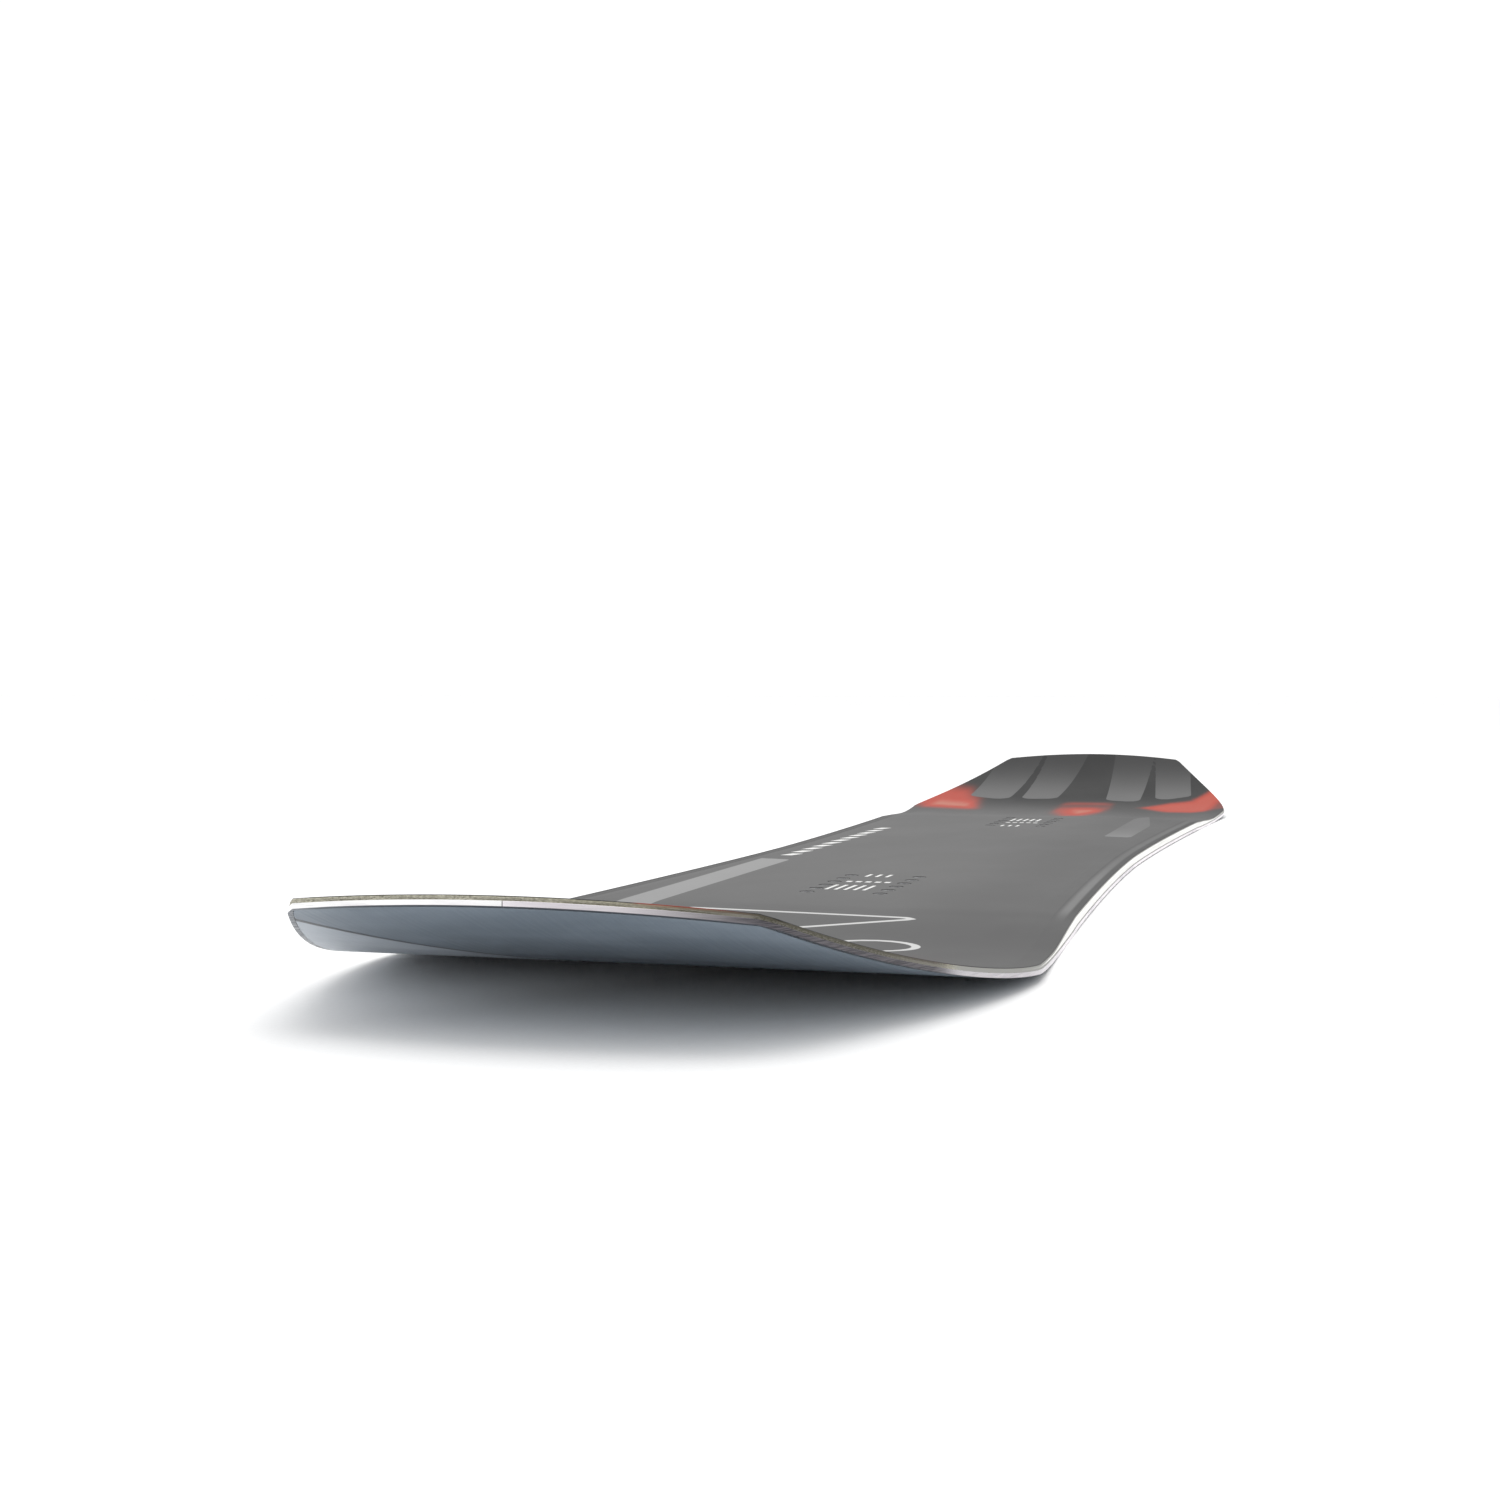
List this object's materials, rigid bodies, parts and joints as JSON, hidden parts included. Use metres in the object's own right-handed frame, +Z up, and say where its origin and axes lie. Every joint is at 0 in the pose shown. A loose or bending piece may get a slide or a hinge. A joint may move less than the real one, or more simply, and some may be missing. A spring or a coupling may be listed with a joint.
{
  "type": "snowboard",
  "caption": "Directional snowboard with blunt raised tips, sidecut, steel edges and threaded binding inserts, as separate layers.",
  "frame": {"origin": "under the middle of the board's box, on the surface that it lies on", "axes": "+Y towards the tail, -Y towards the nose, +X the rider's right when looking at the tail, +Z up out of the deck"},
  "size_m": [0.2848, 1.505, 0.0503],
  "materials": {
    "topsheet": "satin grey nylon topsheet with a printed design",
    "glass_laminate": "glass fibre in epoxy, sanded at the rim",
    "tip_filler": "sanded filler of the tips",
    "base_pale": "pale sintered polyethylene running base",
    "base_dark": "blue grey sintered polyethylene base panel",
    "edge_steel": "ground and polished hardened steel",
    "damping_rubber": "thin rubber foil",
    "sidewall_plastic": "white ABS, milled",
    "poplar": "planed poplar strip",
    "bamboo": "planed bamboo strip",
    "insert_steel": "turned stainless steel"
  },
  "bodies": {
    "root": {"base_nose_panel": "base_dark", "base_sheet": "base_pale", "lower_laminate": "glass_laminate", "upper_laminate": "glass_laminate", "topsheet": "topsheet", "nose_filler": "tip_filler", "tail_filler": "tip_filler", "steel_edge_left": "edge_steel", "steel_edge_right": "edge_steel", "edge_foil_left": "damping_rubber", "edge_foil_right": "damping_rubber", "sidewall_left": "sidewall_plastic", "sidewall_right": "sidewall_plastic", "core_stringer_middle": "poplar", "core_stringer_left_1": "bamboo", "core_stringer_left_2": "poplar", "core_stringer_left_3": "bamboo", "core_stringer_left_4": "poplar", "core_stringer_left_5": "poplar", "core_stringer_right_1": "bamboo", "core_stringer_right_2": "poplar", "core_stringer_right_3": "bamboo", "core_stringer_right_4": "poplar", "core_stringer_right_5": "poplar", "insert_nose_left_1": "insert_steel", "insert_nose_left_2": "insert_steel", "insert_nose_left_3": "insert_steel", "insert_nose_left_4": "insert_steel", "insert_nose_left_5": "insert_steel", "insert_nose_left_6": "insert_steel", "insert_nose_right_1": "insert_steel", "insert_nose_right_2": "insert_steel", "insert_nose_right_3": "insert_steel", "insert_nose_right_4": "insert_steel", "insert_nose_right_5": "insert_steel", "insert_nose_right_6": "insert_steel", "insert_tail_left_1": "insert_steel", "insert_tail_left_2": "insert_steel", "insert_tail_left_3": "insert_steel", "insert_tail_left_4": "insert_steel", "insert_tail_left_5": "insert_steel", "insert_tail_left_6": "insert_steel", "insert_tail_right_1": "insert_steel", "insert_tail_right_2": "insert_steel", "insert_tail_right_3": "insert_steel", "insert_tail_right_4": "insert_steel", "insert_tail_right_5": "insert_steel", "insert_tail_right_6": "insert_steel"}
  },
  "joints": []
}
